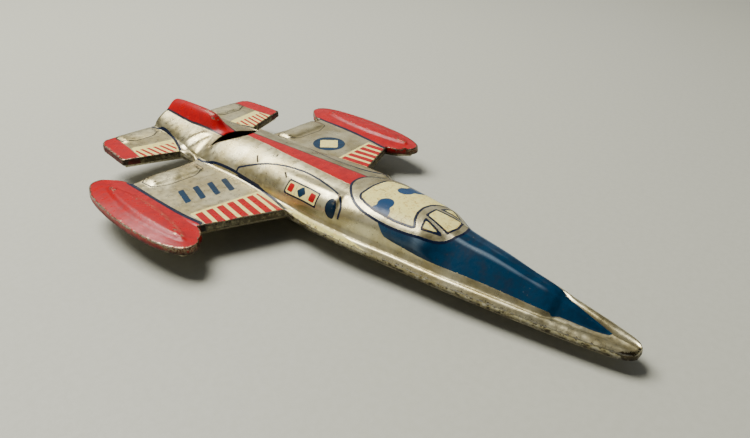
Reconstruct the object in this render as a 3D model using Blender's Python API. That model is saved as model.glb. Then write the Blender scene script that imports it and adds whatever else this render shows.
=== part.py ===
"""Small pressed-tin toy jet: a printed upper shell crimped over a plain lower shell, on three wheels.

Body frame while building: millimetres, +Z up, nose towards -Y, the flange of the shells at z = 0, and
y = 0 just behind the rear ends of the wing-tip tanks. to_stand() then tilts the body nose-down onto its wheels.
"""

import math

import bmesh
import bpy
import numpy as np
from mathutils import Matrix, Vector

# ---- driving sizes, mm -----------------------------------------------------------------------------------
UPPER_T = 0.45  # sheet thickness of the printed shell
LOWER_T = 0.40  # sheet thickness of the plain shell
RIM_LOW = -1.25  # lower edge of the turned-down rim
RIM_OUT = 0.30  # how far the rim leans out beyond the plan outline
LOWER_INSET = 0.85  # plan distance from the outline to the lower shell's wall
LOWER_TOP = -0.80  # upper edge of the lower shell's wall
FLOOR_Z = -2.30  # underside of the lower shell away from the belly
BELLY_DROP = 1.90  # extra depth of the belly under the wings
WING_Z = 0.55  # top of the flat wing skin
LE_ROOT_Y = -45.5
TE_ROOT_Y = -8.0
TAIL_LE_Y = 0.5
REAR_Y = 21.3
TIP_X = 33.2  # where the wing skin becomes the tank
TIP_LE_Y, TIP_TE_Y = -37.4, -9.0  # the wing tip's leading and trailing corners
TANK_X = 38.8  # tank centre line
TANK_HALF_W = 5.9
TANK_Y = -22.5  # middle of the tank
TANK_HALF_L = 21.6
VENT_X = 8.8  # half width of the crescent opening ahead of the tail
VENT_FORE = -7.7  # how far its front edge bows forward of its ends
VENT_AFT = 2.7  # how far its rear edge bows aft of its ends
TILT = math.atan(0.0353)  # nose-down attitude on the wheels
STAND_Z = 9.10  # height of the body frame's origin above the table
CENTRE_Y = 54.122  # puts the finished toy's middle over the frame's origin
GAP = 0.30
AXLE_R = 0.70
RUN = 0.05  # radial clearance of a wire in its hole
MAIN_Y = -22.0
MAIN_R = 6.40
MAIN_X = 5.80  # middle of a main wheel
MAIN_W = 2.80
NOSE_WHEEL_Y = -93.0
NOSE_WHEEL_R = 5.60
NOSE_WHEEL_W = 2.20

# (y, value) along the body: half width of the flange edge, half width of the fuselage at its foot, top line,
# and height of the foot of the fuselage side above the flange
EDGE = [
    (-129.7, 1.0), (-129.1, 2.0), (-127.8, 2.9), (-125.5, 3.6), (-121.0, 4.7), (-112.0, 6.4),
    (-104.0, 7.8), (-91.0, 9.8), (-78.0, 11.2), (-62.0, 13.2), (-54.0, 13.6), (-45.5, 13.3),
    (-26.0, 12.2), (-8.0, 13.3), (-3.5, 12.6), (0.5, 12.9), (5.0, 11.2), (12.0, 9.6), (21.3, 9.2),
]
SIDE = [
    (-129.7, 0.3), (-123.4, 0.5), (-113.4, 2.8), (-112.6, 3.7), (-106.0, 4.9), (-98.0, 6.1),
    (-91.0, 7.3), (-78.0, 9.0), (-62.0, 10.9), (-47.0, 11.8), (-26.0, 11.2), (-12.0, 11.9),
    (-3.5, 11.2), (2.0, 10.4), (8.0, 9.2), (21.3, 8.3),
]
TOP = [
    (-129.7, 0.45), (-123.4, 0.85), (-113.4, 3.45), (-112.6, 4.1), (-105.4, 5.3), (-98.0, 6.45),
    (-91.0, 7.15), (-87.5, 7.65), (-84.0, 8.35), (-79.0, 9.0), (-72.0, 9.15), (-66.0, 9.05),
    (-57.0, 8.5), (-42.0, 8.05),
    (-24.0, 7.45), (-8.0, 6.9),
]
TAIL_TOP = [(-16.0, 3.6), (-5.3, 4.1), (2.0, 4.6), (21.3, 5.2)]
FOOT = [
    (-129.7, 0.4), (-123.4, 0.6), (-112.0, 1.6), (-90.0, 2.3), (-70.0, 2.2), (-52.0, 1.9),
    (-45.5, 1.1), (21.3, 1.0),
]
ROUNDNESS = [  # power of the fuselage's cross-section: low is boxy, high is arched
    (-88, 0.6), (-82, 0.36), (-65, 0.34), (-56, 0.50), (-45, 0.60), (-30, 0.66), (-8, 0.86), (21.3, 0.75),
]
FIN_H = [(-5.3, 0.0), (-3.5, 0.5), (2.2, 3.85), (8.5, 3.55), (19.0, 2.5), (21.3, 2.1)]
FIN_W = [(-5.3, 2.4), (2.0, 3.3), (8.0, 3.9), (21.3, 3.8)]

UPPER_ROWS = [
    -129.7, -129.1, -127.8, -125.5, -123.4, -118.4, -113.4, -112.6, -109.0, -105.4, -98.0, -91.0,
    -87.5, -84.0, -80.5, -77.0, -70.0, -63.0, -60.5, -58.0, -51.0, -47.5, -45.5, -44.5, -43.3,
    -41.8, -40.0, -37.4, -33.0, -27.0, -20.0, -15.4, -13.8, -12.0, -10.2, -8.8, -8.0,
]
UPPER_TAIL_ROWS = [-8.0, -6.0, -3.5, 0.5, 2.6, 5.0, 8.5, 12.0, 15.0, 16.8, 18.2, 19.8, 21.3]
LOWER_ROWS = [
    -129.7, -126.5, -121.0, -112.0, -102.0, -91.0, -78.0, -66.0, -54.0, -45.5, -43.4, -40.5,
    -36.0, -28.0, -18.0, -12.0, -9.6, -8.0,
]
LOWER_TAIL_ROWS = [-8.0, -3.5, 0.5, 5.0, 12.0, 19.5, 21.3]


def at(knots, y):
    return np.interp(y, [k[0] for k in knots], [k[1] for k in knots])


def smooth(a, b, v):
    s = np.clip((v - a) / (b - a), 0.0, 1.0)
    return s * s * (3 - 2 * s)


def soft_min(a, b, k):
    s = np.clip(0.5 + 0.5 * (b - a) / k, 0.0, 1.0)
    return b * (1 - s) + a * s - k * s * (1 - s)


# ---- the pressed form of the upper shell -----------------------------------------------------------------
def crown(u, y):
    """Height across the fuselage as a share of its top: a ridged wedge in the nose, round behind."""
    u = np.clip(u, 0.0, 1.0)
    wedge = soft_min(1 - 0.12 * u, 1.45 * (1 - u), 0.10)
    power = np.interp(y, *zip(*ROUNDNESS))
    round_top = np.power(np.clip(1 - u**2.1, 0.0, 1.0), power)
    s = smooth(-91.0, -82.0, y)
    return wedge * (1 - s) + round_top * s


def intake(x, y):
    """The intake fairing pressed out of each fuselage side, blunt at its front end."""
    along = smooth(-60.2, -58.0, y) * (1 - smooth(-50.0, -26.0, y))
    across = smooth(5.6, 8.6, abs(x)) * (1 - smooth(10.8, 12.6, abs(x)))
    return 0.9 * along * across


def body_height(x, y):
    side, foot = at(SIDE, y), at(FOOT, y)
    u = abs(x) / side
    fore = foot + (at(TOP, y) - foot) * crown(u, y) + intake(x, y)
    aft = foot + (at(TAIL_TOP, y) - foot) * crown(u, np.maximum(y, -8.0))
    s = smooth(TE_ROOT_Y - 2.5, TE_ROOT_Y + 2.5, y)
    fin = at(FIN_H, y) * np.cos(0.5 * math.pi * min(1.0, abs(x) / at(FIN_W, y))) ** 1.2
    return fore * (1 - s) + (aft + fin) * s


def flange_height(share, y):
    """Concave strip, then the rounded bead, then the edge; beside the wings it is a plain fillet."""
    foot = at(FOOT, y)
    bead = np.interp(share, [0, 0.2, 0.38, 0.62, 0.85, 1], [foot, 0.2 + 0.42 * foot, 0.62, 0.95, 0.62, 0.05])
    plain = foot + (WING_Z - foot) * share
    s = smooth(-51.0, -45.5, y) * (1 - smooth(-8.0, -5.0, y)) + smooth(-3.0, 0.5, y)
    return bead * (1 - s) + plain * s


def flap(v, middle, half):
    """A half-round roll pressed along a trailing edge."""
    return math.sqrt(max(0.0, 1 - ((v - middle) / half) ** 2))


def wing_height(x, y):
    ends = smooth(14.6, 16.2, x) * (1 - smooth(29.6, 31.0, x))
    return WING_Z + 0.75 * flap(y, -12.0, 3.4) * ends


def tail_height(x, y):
    ends = smooth(9.6, 11.2, x) * (1 - smooth(20.6, 22.0, x))
    return WING_Z + 0.60 * flap(y, 18.2, 3.0) * ends


def tank_height(x, y):
    """Low dome with a long pressed teardrop, pointed towards the nose."""
    r = math.hypot((x - TANK_X) / TANK_HALF_W, (y - TANK_Y) / TANK_HALF_L)
    dome = 0.75 * (1 - min(1.0, r) ** 2)
    length = (y + 40.5) / 33.0
    half = 0.3 + 2.6 * math.sin(math.pi * min(1.0, max(0.0, length)) ** 0.75)
    drop = 0.6 * (1 - smooth(half * 0.6, half * 1.15, abs(x - TANK_X))) * (0 < length < 1)
    return WING_Z - 0.1 + dome + drop


# ---- plan layout shared by both shells -------------------------------------------------------------------
def tank_edge(f):
    """A point of the tank's plan outline, f = 0 at the front inner side round to 1 at the rear inner side."""
    a = math.radians(np.interp(f, [0, 0.2, 0.8, 1], [115, 50, -50, -115]))
    x = TANK_X + TANK_HALF_W * math.copysign(abs(math.cos(a)) ** 0.85, math.cos(a))
    return x, TANK_Y - TANK_HALF_L * math.sin(a)


def tail_tip(f):
    y = 5.9 + f * 15.3
    return np.interp(y, [5.9, 17.6, 19.8, 21.2], [27.6, 26.8, 26.1, 24.6]), y


class Sheet:
    """An open sheet of quads, with points shared by name."""

    def __init__(self):
        self.points, self.names, self.quads = [], {}, []

    def point(self, name, co):
        if name not in self.names:
            self.names[name] = len(self.points)
            self.points.append(tuple(float(c) for c in co))
        return self.names[name]

    def quad(self, a, b, c, d):
        ring = [a, b, c, d]
        ring = [v for i, v in enumerate(ring) if v != ring[i - 1]]
        if len(ring) > 2:
            self.quads.append(ring)


def lay_out(rows, tail_rows, body_cols, flange_cols, spans, heights):
    """Body, then a wing, tank and tailplane on each side, as one sheet seen from above.

    spans = number of quads across (wing, tank, tailplane); heights = functions for body, flange, wing,
    tank and tail.
    """
    sheet = Sheet()
    body_z, flange_z, wing_z, tank_z, tail_z = heights
    n_wing, n_tank, n_tail = spans
    fore, aft = len(rows), len(tail_rows)
    vent = min(range(len(body_cols)), key=lambda i: abs(body_cols[i] * at(SIDE, TE_ROOT_Y) - VENT_X))
    last = len(body_cols) + len(flange_cols) - 1

    def body_point(part, j, i, sign):
        if part == "aft" and j == 0 and (i >= vent or body_z is not body_height):
            part, j = "fore", fore - 1
        y0 = rows[j] if part == "fore" else tail_rows[j]
        name = ("body", part, j, i * sign)
        if name in sheet.names:
            return sheet.names[name]
        side, edge = at(SIDE, y0), at(EDGE, y0)
        if i < len(body_cols):
            x, y = side * body_cols[i], y0
            bow = max(0.0, 1 - (body_cols[i] / body_cols[vent]) ** 2)
            if part == "fore" and body_z is body_height:
                y += VENT_FORE * bow * np.interp(y0, [-26.0, TE_ROOT_Y], [0, 1])
            elif body_z is body_height:
                y += VENT_AFT * bow * np.interp(y0, [TE_ROOT_Y, 2.6], [1, 0])
            z = body_z(x, y)
        else:
            share = flange_cols[i - len(body_cols)]
            x, y = side + (edge - side) * share, y0
            z = flange_z(share, y0)
        return sheet.point(name, (sign * x, y, z))

    def strip(part, j, sign):
        for i in range(last):
            a, b = body_point(part, j, i, sign), body_point(part, j, i + 1, sign)
            d, c = body_point(part, j + 1, i, sign), body_point(part, j + 1, i + 1, sign)
            sheet.quad(*((a, b, c, d) if sign > 0 else (a, d, c, b)))

    for sign in (1, -1):
        for j in range(fore - 1):
            strip("fore", j, sign)
        for j in range(aft - 1):
            strip("aft", j, sign)

        # wing and tank, row by row from leading to trailing edge
        lead = rows.index(LE_ROOT_Y)
        grid = []
        for j in range(lead, fore):
            f = (rows[j] - LE_ROOT_Y) / (TE_ROOT_Y - LE_ROOT_Y)
            root = body_point("fore", j, last, sign)
            rx, ry = abs(sheet.points[root][0]), sheet.points[root][1]
            tx, ty = TIP_X, TIP_LE_Y + (TIP_TE_Y - TIP_LE_Y) * f
            ox, oy = tank_edge(f)
            line = [root]
            for k in range(1, n_wing + 1):
                s = k / n_wing
                x, y = rx + (tx - rx) * s, ry + (ty - ry) * s
                line.append(sheet.point(("wing", sign, j, k), (sign * x, y, wing_z(x, y))))
            for k in range(1, n_tank + 1):
                s = k / n_tank
                x, y = tx + (ox - tx) * s, ty + (oy - ty) * s
                bulge = max(0.0, 1 - min(f, 1 - f) / 0.08) * math.sin(math.pi * s)
                x -= 0.5 * bulge
                y += (0.5 if f > 0.5 else -0.5) * bulge
                line.append(sheet.point(("tank", sign, j, k), (sign * x, y, tank_z(x, y))))
            grid.append(line)
        # tailplane
        start = tail_rows.index(TAIL_LE_Y)
        tail_grid = []
        for j in range(start, aft):
            f = (tail_rows[j] - TAIL_LE_Y) / (REAR_Y - TAIL_LE_Y)
            root = body_point("aft", j, last, sign)
            rx, ry = abs(sheet.points[root][0]), sheet.points[root][1]
            tx, ty = tail_tip(f)
            line = [root]
            for k in range(1, n_tail + 1):
                s = k / n_tail
                x, y = rx + (tx - rx) * s, ry + (ty - ry) * s
                line.append(sheet.point(("tail", sign, j, k), (sign * x, y, tail_z(x, y))))
            tail_grid.append(line)
        for lines in (grid, tail_grid):
            for low, high in zip(lines, lines[1:]):
                for k in range(len(low) - 1):
                    a, b, c, d = low[k], low[k + 1], high[k + 1], high[k]
                    sheet.quad(*((a, b, c, d) if sign > 0 else (a, d, c, b)))
    return sheet


def border(sheet, keep):
    """The border edges whose both ends pass keep, as directed pairs with the sheet on their left."""
    count = {}
    for ring in sheet.quads:
        for i, a in enumerate(ring):
            b = ring[(i + 1) % len(ring)]
            count[(a, b)] = count.get((a, b), 0) + 1
    return [e for e in count if (e[1], e[0]) not in count and keep(e)]


def outward(sheet, edges):
    """Plan direction away from the sheet at each point of the border edges."""
    found = {}
    for a, b in edges:
        pa, pb = sheet.points[a], sheet.points[b]
        tangent = Vector((pb[0] - pa[0], pb[1] - pa[1]))
        if tangent.length < 1e-9:
            continue
        normal = Vector((tangent.y, -tangent.x)).normalized()
        for v in (a, b):
            found[v] = found.get(v, Vector((0, 0))) + normal
    return {v: n.normalized() for v, n in found.items()}


def turn_edge(sheet, edges, rings):
    """Carries the border edges on through rings of (plan distance outwards, height)."""
    normals = outward(sheet, edges)
    previous = {v: v for v in normals}
    for level, (out, z) in enumerate(rings):
        current = {}
        for v, n in normals.items():
            x, y, _ = sheet.points[v]
            height = z(sheet.points[v]) if callable(z) else z
            current[v] = sheet.point(("rim", level, v), (x + n.x * out, y + n.y * out, height))
        for a, b in edges:
            sheet.quad(previous[b], previous[a], current[a], current[b])
        previous = current


def to_stand(points):
    """Body frame in mm to the toy's own frame in metres, standing on its wheels."""
    p = np.asarray(points, float)
    c, s = math.cos(TILT), math.sin(TILT)
    y = p[:, 1] * c - p[:, 2] * s + CENTRE_Y
    z = p[:, 1] * s + p[:, 2] * c + STAND_Z
    return np.stack([p[:, 0], y, z], -1) * 0.001


def material(name, colour, metallic, roughness):
    mat = bpy.data.materials.new(name)
    mat.use_nodes = True
    surface = mat.node_tree.nodes["Principled BSDF"]
    surface.inputs["Base Color"].default_value = (*colour, 1)
    surface.inputs["Metallic"].default_value = metallic
    surface.inputs["Roughness"].default_value = roughness
    return mat


def add(name, points, faces, mat, smooth_faces=True):
    mesh = bpy.data.meshes.new(name)
    mesh.from_pydata([tuple(p) for p in to_stand(points)], [], faces)
    mesh.validate()
    for face in mesh.polygons:
        face.use_smooth = smooth_faces
    mesh.materials.append(mat)
    obj = bpy.data.objects.new(name, mesh)
    bpy.context.scene.collection.objects.link(obj)
    return obj


def thicken(sheet, thickness, down=False):
    """Gives the sheet its metal thickness on the inner side. Returns points and faces of the closed solid."""
    bm = bmesh.new()
    made = [bm.verts.new(p) for p in sheet.points]
    for ring in sheet.quads:
        bm.faces.new([made[i] for i in ring])
    for v in [v for v in bm.verts if not v.link_faces]:
        bm.verts.remove(v)
    bmesh.ops.recalc_face_normals(bm, faces=bm.faces)
    bm.normal_update()
    top = max(bm.faces, key=lambda f: f.calc_center_median().z)
    low = min(bm.faces, key=lambda f: f.calc_center_median().z)
    wrong = low.normal.z > 0 if down else top.normal.z < 0
    if wrong:
        bmesh.ops.reverse_faces(bm, faces=bm.faces)
        bm.normal_update()
    bm.verts.index_update()
    outer = [v.co.copy() for v in bm.verts]
    inner = []
    for v in bm.verts:
        normal = sum((f.normal * f.calc_area() ** 0.25 for f in v.link_faces), Vector()).normalized()
        least = min(normal.dot(f.normal) for f in v.link_faces)
        inner.append(v.co - normal * thickness / max(0.75, least))
    n = len(outer)
    faces = [[v.index for v in f.verts] for f in bm.faces]
    solid = faces + [[i + n for i in reversed(f)] for f in faces]
    for e in bm.edges:
        if len(e.link_faces) == 1:
            loop = e.link_loops[0]
            a, b = loop.vert.index, loop.link_loop_next.vert.index
            solid.append([b, a, a + n, b + n])
    bm.free()
    return outer + inner, solid


def box(name, x0, x1, y0, y1, z0, z1):
    points = [(x, y, z) for x in (x0, x1) for y in (y0, y1) for z in (z0, z1)]
    faces = [[0, 1, 3, 2], [4, 6, 7, 5], [0, 4, 5, 1], [2, 3, 7, 6], [0, 2, 6, 4], [1, 5, 7, 3]]
    return add(name, points, faces, PLAIN, False)


def combine(target, other, operation):
    """Applies a Boolean to the target and drops the other object."""
    step = target.modifiers.new(operation, "BOOLEAN")
    step.operation = operation
    step.solver = "EXACT"
    step.object = other
    bpy.context.view_layer.update()
    mesh = bpy.data.meshes.new_from_object(target.evaluated_get(bpy.context.evaluated_depsgraph_get()))
    target.modifiers.clear()
    old, target.data = target.data, mesh
    bpy.data.meshes.remove(old)
    bpy.data.objects.remove(other)


def turned(name, profile, centre, mat, steps=28, phase=0.0):
    """A solid of revolution about an axis along X. profile = ring of (x, radius); origin on the axis."""
    points, faces = [], []
    n = len(profile)
    solid = profile[0][1] == 0
    for k in range(steps):
        a = 2 * math.pi * (k + phase) / steps
        for x, r in profile:
            points.append((x, r * math.cos(a), r * math.sin(a)))
    for k in range(steps):
        m = (k + 1) % steps
        for i in range(n if not solid else n - 1):
            j = (i + 1) % n
            faces.append([k * n + i, k * n + j, m * n + j, m * n + i])
    mesh = bpy.data.meshes.new(name)
    mesh.from_pydata([Vector(p) * 0.001 for p in points], [], faces)
    mesh.validate()
    bm = bmesh.new()
    bm.from_mesh(mesh)
    bmesh.ops.remove_doubles(bm, verts=bm.verts, dist=1e-7)
    bmesh.ops.recalc_face_normals(bm, faces=bm.faces)
    bm.to_mesh(mesh)
    bm.free()
    for face in mesh.polygons:
        face.use_smooth = True
    mesh.materials.append(mat)
    obj = bpy.data.objects.new(name, mesh)
    obj.location = centre
    bpy.context.scene.collection.objects.link(obj)
    return obj


for old in list(bpy.data.objects):
    bpy.data.objects.remove(old)

PRINTED = material("printed_tin", (0.70, 0.68, 0.58), 0.85, 0.34)
PLAIN = material("plain_tin", (0.60, 0.58, 0.50), 0.90, 0.40)
WIRE = material("steel_wire", (0.55, 0.55, 0.55), 1.00, 0.35)
RUBBER = material("black_rubber", (0.03, 0.03, 0.03), 0.00, 0.65)

# ---- upper shell -----------------------------------------------------------------------------------------
vent_share = VENT_X / float(at(SIDE, TE_ROOT_Y))
upper = lay_out(
    UPPER_ROWS,
    UPPER_TAIL_ROWS,
    [0.0, 0.10, 0.20, 0.32, 0.46, 0.60, vent_share, 0.86, 0.93, 0.975, 1.0],
    [0.2, 0.38, 0.62, 0.85, 1.0],
    (6, 5, 4),
    (body_height, flange_height, wing_height, tank_height, tail_height),
)


def on_rim(edge):
    """True away from the crescent opening and from the open rear arch."""
    ends = [upper.points[v] for v in edge]
    rear = all(abs(p[1] - REAR_Y) < 0.01 and abs(p[0]) < float(at(EDGE, REAR_Y)) + 0.01 for p in ends)
    vent = all(abs(p[0]) < VENT_X + 0.05 and -17 < p[1] < 0 for p in ends)
    return not rear and not vent


rim = border(upper, on_rim)
turn_edge(upper, rim, [(0.22, lambda p: min(p[2], 0.5) - 0.40), (RIM_OUT, RIM_LOW)])
points, faces = thicken(upper, UPPER_T)
upper_shell = add("upper_shell", points, faces, PRINTED)


# ---- lower shell -----------------------------------------------------------------------------------------
def belly(x, y):
    along = smooth(-74.0, -48.0, y) * (1 - smooth(-8.0, 8.0, y))
    across = 1 - smooth(8.4, 12.4, abs(x))
    return FLOOR_Z - BELLY_DROP * along * across


def flat(*_):
    return FLOOR_Z


lower = lay_out(
    LOWER_ROWS,
    LOWER_TAIL_ROWS,
    [0.0, 0.36, 0.72, 0.92],
    [1.0],
    (3, 3, 2),
    (belly, flat, flat, flat, flat),
)
rim = border(lower, lambda e: True)
for v, n in outward(lower, rim).items():
    x, y, z = lower.points[v]
    lower.points[v] = (x - n.x * LOWER_INSET, y - n.y * LOWER_INSET, z)
turn_edge(lower, rim, [(0.12, FLOOR_Z + 0.45), (0.12, LOWER_TOP)])
points, faces = thicken(lower, LOWER_T, down=True)
lower_shell = add("lower_shell", points, faces, PLAIN)

belly_top = FLOOR_Z - BELLY_DROP + LOWER_T
floor_top = FLOOR_Z + LOWER_T
cuts = [
    (s * MAIN_X - MAIN_W / 2 - 0.6, s * MAIN_X + MAIN_W / 2 + 0.6, MAIN_Y - 7.2, MAIN_Y + 7.2)
    for s in (1, -1)
]
cuts.append((-NOSE_WHEEL_W / 2 - 0.6, NOSE_WHEEL_W / 2 + 0.6, NOSE_WHEEL_Y - 6.4, NOSE_WHEEL_Y + 6.4))
MAIN_TABS = (MAIN_Y - 8.0, MAIN_Y + 8.0)
NOSE_TABS = (NOSE_WHEEL_Y - 8.6, NOSE_WHEEL_Y + 8.6)
for y in MAIN_TABS + NOSE_TABS:
    cuts.append((-1.3 - GAP, 1.3 + GAP, y - 0.225 - GAP, y + 0.225 + GAP))
for x0, x1, y0, y1 in cuts:
    combine(lower_shell, box("cut", x0, x1, y0, y1, -7, 0), "DIFFERENCE")


# ---- wheels, wires and brackets --------------------------------------------------------------------------
def axis_at(y, radius):
    """Body-frame height of an axle whose wheel of this radius touches the table, and where it stands."""
    z = (radius - STAND_Z - y * math.sin(TILT)) / math.cos(TILT)
    return z, Vector(to_stand([(0, y, z)])[0])


def wheel(name, y, radius, width, x, hub):
    _, centre = axis_at(y, radius)
    half = width / 2
    bore = AXLE_R + RUN
    profile = [
        (-half, bore), (-half, hub), (-half * 0.55, hub + 0.5), (-half * 0.55, radius - 1.7),
        (-half * 0.9, radius - 1.1), (-half * 0.8, radius - 0.3), (-half * 0.35, radius),
        (half * 0.35, radius), (half * 0.8, radius - 0.3), (half * 0.9, radius - 1.1),
        (half * 0.55, radius - 1.7), (half * 0.55, hub + 0.5), (half, hub), (half, bore),
    ]
    return turned(name, profile, centre + Vector((x * 0.001, 0, 0)), RUBBER)


def axle(name, y, radius, reach):
    """A wire along X with a flattened head at each end."""
    _, centre = axis_at(y, radius)
    head = AXLE_R + 0.5
    profile = [
        (-reach - 0.5, 0), (-reach - 0.5, head * 0.8), (-reach - 0.3, head), (-reach, head),
        (-reach, AXLE_R), (reach, AXLE_R), (reach, head), (reach + 0.3, head),
        (reach + 0.5, head * 0.8), (reach + 0.5, 0),
    ]
    return turned(name, profile, centre, WIRE)


def ear_hole(target, y, radius):
    _, centre = axis_at(y, radius)
    pin = turned("pin", [(-12, 0), (-12, AXLE_R + RUN), (12, AXLE_R + RUN), (12, 0)], centre, WIRE)
    combine(target, pin, "DIFFERENCE")


def blocks(name, boxes, cut=None):
    """One solid made of rectangular blocks (x0, x1, y0, y1, z0, z1), less an optional rectangular cut."""
    every = boxes + ([cut] if cut else [])
    lines = [sorted({round(b[i], 4) for b in every for i in (k, k + 1)}) for k in (0, 2, 4)]

    def filled(cell):
        if any(c < 0 or c >= len(lines[k]) - 1 for k, c in enumerate(cell)):
            return False
        mid = [(lines[k][c] + lines[k][c + 1]) / 2 for k, c in enumerate(cell)]
        within = lambda b: all(b[2 * k] < mid[k] < b[2 * k + 1] for k in range(3))
        return any(within(b) for b in boxes) and not (cut and within(cut))

    points, index, faces = [], {}, []

    def corner(cell):
        if cell not in index:
            index[cell] = len(points)
            points.append(tuple(lines[k][c] for k, c in enumerate(cell)))
        return index[cell]

    counts = [len(line) - 1 for line in lines]
    for cell in np.ndindex(*counts):
        if not filled(cell):
            continue
        for k in range(3):
            for step in (0, 1):
                beside = list(cell)
                beside[k] += 1 if step else -1
                if filled(tuple(beside)):
                    continue
                m, n = (k + 1) % 3, (k + 2) % 3
                ring = []
                for dm, dn in ((0, 0), (1, 0), (1, 1), (0, 1)):
                    c = list(cell)
                    c[k] += step
                    c[m] += dm
                    c[n] += dn
                    ring.append(corner(tuple(c)))
                faces.append(ring if step else ring[::-1])
    return add(name, points, faces, PLAIN, False)


def bracket(name, y, radius, ear_x, base_x, base_z, tabs, floor_under, slot):
    """A folded strip: base plate on the shell's floor, two ears for the wire, and a bent tab at each end."""
    z, _ = axis_at(y, radius)
    t = 0.45
    low = floor_under - GAP - t
    boxes = [(-base_x, base_x, tabs[0] - t / 2, tabs[1] + t / 2, base_z, base_z + t)]
    for s in (1, -1):
        near, far = sorted((s * ear_x, s * (ear_x + t)))
        boxes.append((near, far, y - 1.9, y + 1.9, base_z, z + 1.7))
    for at_y, way in zip(tabs, (1, -1)):
        boxes.append((-1.3, 1.3, at_y - t / 2, at_y + t / 2, low, base_z + t))
        a, b = sorted((at_y + way * t / 2, at_y - way * 1.9))
        boxes.append((-1.3, 1.3, a, b, low, low + t))
    cut = None
    if slot:
        cut = (-slot[0], slot[0], y - slot[1], y + slot[1], base_z - 1, z + 3)
    body = blocks(name, boxes, cut)
    ear_hole(body, y, radius)
    return body


wheel("main_wheel_left", MAIN_Y, MAIN_R, MAIN_W, MAIN_X, 2.0)
wheel("main_wheel_right", MAIN_Y, MAIN_R, MAIN_W, -MAIN_X, 2.0)
wheel("nose_wheel", NOSE_WHEEL_Y, NOSE_WHEEL_R, NOSE_WHEEL_W, 0, 1.8)
axle("main_axle", MAIN_Y, MAIN_R, MAIN_X + MAIN_W / 2 + GAP)
axle("nose_axle", NOSE_WHEEL_Y, NOSE_WHEEL_R, NOSE_WHEEL_W / 2 + 0.75 + 0.45 + GAP)
bracket(
    "main_bracket", MAIN_Y, MAIN_R, 2.6, 3.05, belly_top + GAP, MAIN_TABS,
    FLOOR_Z - BELLY_DROP, None,
)
bracket(
    "nose_bracket", NOSE_WHEEL_Y, NOSE_WHEEL_R, NOSE_WHEEL_W / 2 + 0.75, 2.45, floor_top + GAP, NOSE_TABS,
    FLOOR_Z, (NOSE_WHEEL_W / 2 + 0.6, 6.4),
)
for obj in bpy.context.scene.objects:
    if obj.name.endswith("bracket"):
        obj.data.materials.clear()
        obj.data.materials.append(PLAIN)
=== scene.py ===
"""Looks of the pressed-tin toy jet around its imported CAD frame.

The printed upper shell is laid again as a fine sheet that carries its print; the other pieces keep their CAD
shapes and get materials; then come the floor, the lights and the camera. Lengths are millimetres in the toy's
body frame (+Z up, nose towards -Y, shell flange at z = 0) until to_stand() puts them on the table in metres.
"""

import math

import bpy
import numpy as np
from mathutils import Matrix, Vector, noise
from mathutils.kdtree import KDTree


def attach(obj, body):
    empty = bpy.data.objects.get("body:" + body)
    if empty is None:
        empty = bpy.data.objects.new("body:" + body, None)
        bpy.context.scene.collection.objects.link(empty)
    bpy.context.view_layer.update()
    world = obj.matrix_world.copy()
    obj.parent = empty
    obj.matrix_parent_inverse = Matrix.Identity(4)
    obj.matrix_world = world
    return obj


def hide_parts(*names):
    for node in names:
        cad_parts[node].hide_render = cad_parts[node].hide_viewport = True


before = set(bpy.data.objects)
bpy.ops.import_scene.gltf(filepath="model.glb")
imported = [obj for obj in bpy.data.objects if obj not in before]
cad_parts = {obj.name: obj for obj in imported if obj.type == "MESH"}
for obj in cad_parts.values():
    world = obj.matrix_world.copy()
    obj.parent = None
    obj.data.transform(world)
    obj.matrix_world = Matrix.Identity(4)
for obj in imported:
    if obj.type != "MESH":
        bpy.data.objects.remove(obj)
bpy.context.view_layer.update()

# ---- sizes repeated from the part ------------------------------------------------------------------------
SHEET_T = 0.34  # a little under the CAD sheet, so that the inside clears the lower shell
RIM_LOW = -1.25
WING_Z = 0.55
LE_ROOT_Y, TE_ROOT_Y = -45.5, -8.0
TAIL_LE_Y, REAR_Y = 0.5, 21.3
TIP_X, TIP_LE_Y, TIP_TE_Y = 33.2, -37.4, -9.0
TANK_X, TANK_HALF_W = 38.8, 5.9
TANK_Y, TANK_HALF_L = -22.5, 21.6
VENT_X, VENT_FORE, VENT_AFT = 8.8, -7.7, 2.7
TILT = math.atan(0.0353)
STAND_Z, CENTRE_Y = 9.10, 54.122

EDGE = [
    (-129.7, 1.0), (-129.1, 2.0), (-127.8, 2.9), (-125.5, 3.6), (-121.0, 4.7), (-112.0, 6.4),
    (-104.0, 7.8), (-91.0, 9.8), (-78.0, 11.2), (-62.0, 13.2), (-54.0, 13.6), (-45.5, 13.3),
    (-26.0, 12.2), (-8.0, 13.3), (-3.5, 12.6), (0.5, 12.9), (5.0, 11.2), (12.0, 9.6), (21.3, 9.2),
]
SIDE = [
    (-129.7, 0.3), (-123.4, 0.5), (-122.4, 0.73), (-118.4, 1.65), (-114.2, 2.62), (-113.4, 2.8),
    (-112.6, 3.7), (-106.0, 4.9), (-98.0, 6.1), (-91.0, 7.3), (-78.0, 9.0), (-62.0, 10.9),
    (-47.0, 11.8), (-26.0, 11.2), (-12.0, 11.9), (-3.5, 11.2), (2.0, 10.4), (8.0, 9.2), (21.3, 8.3),
]
TOP = [
    (-129.7, 0.45), (-123.4, 0.85), (-122.4, 1.11), (-118.4, 2.15), (-114.2, 3.24), (-113.4, 3.45),
    (-112.6, 4.1), (-105.4, 5.3), (-98.0, 6.45), (-91.0, 7.15), (-87.5, 7.65), (-84.0, 8.35),
    (-79.0, 9.0), (-72.0, 9.15), (-66.0, 9.05), (-57.0, 8.5), (-42.0, 8.05), (-24.0, 7.45),
    (-8.0, 6.9), (21.3, 6.9),
]
TAIL_TOP = [(-16.0, 3.6), (-5.3, 4.1), (2.0, 4.6), (21.3, 5.2)]
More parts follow.
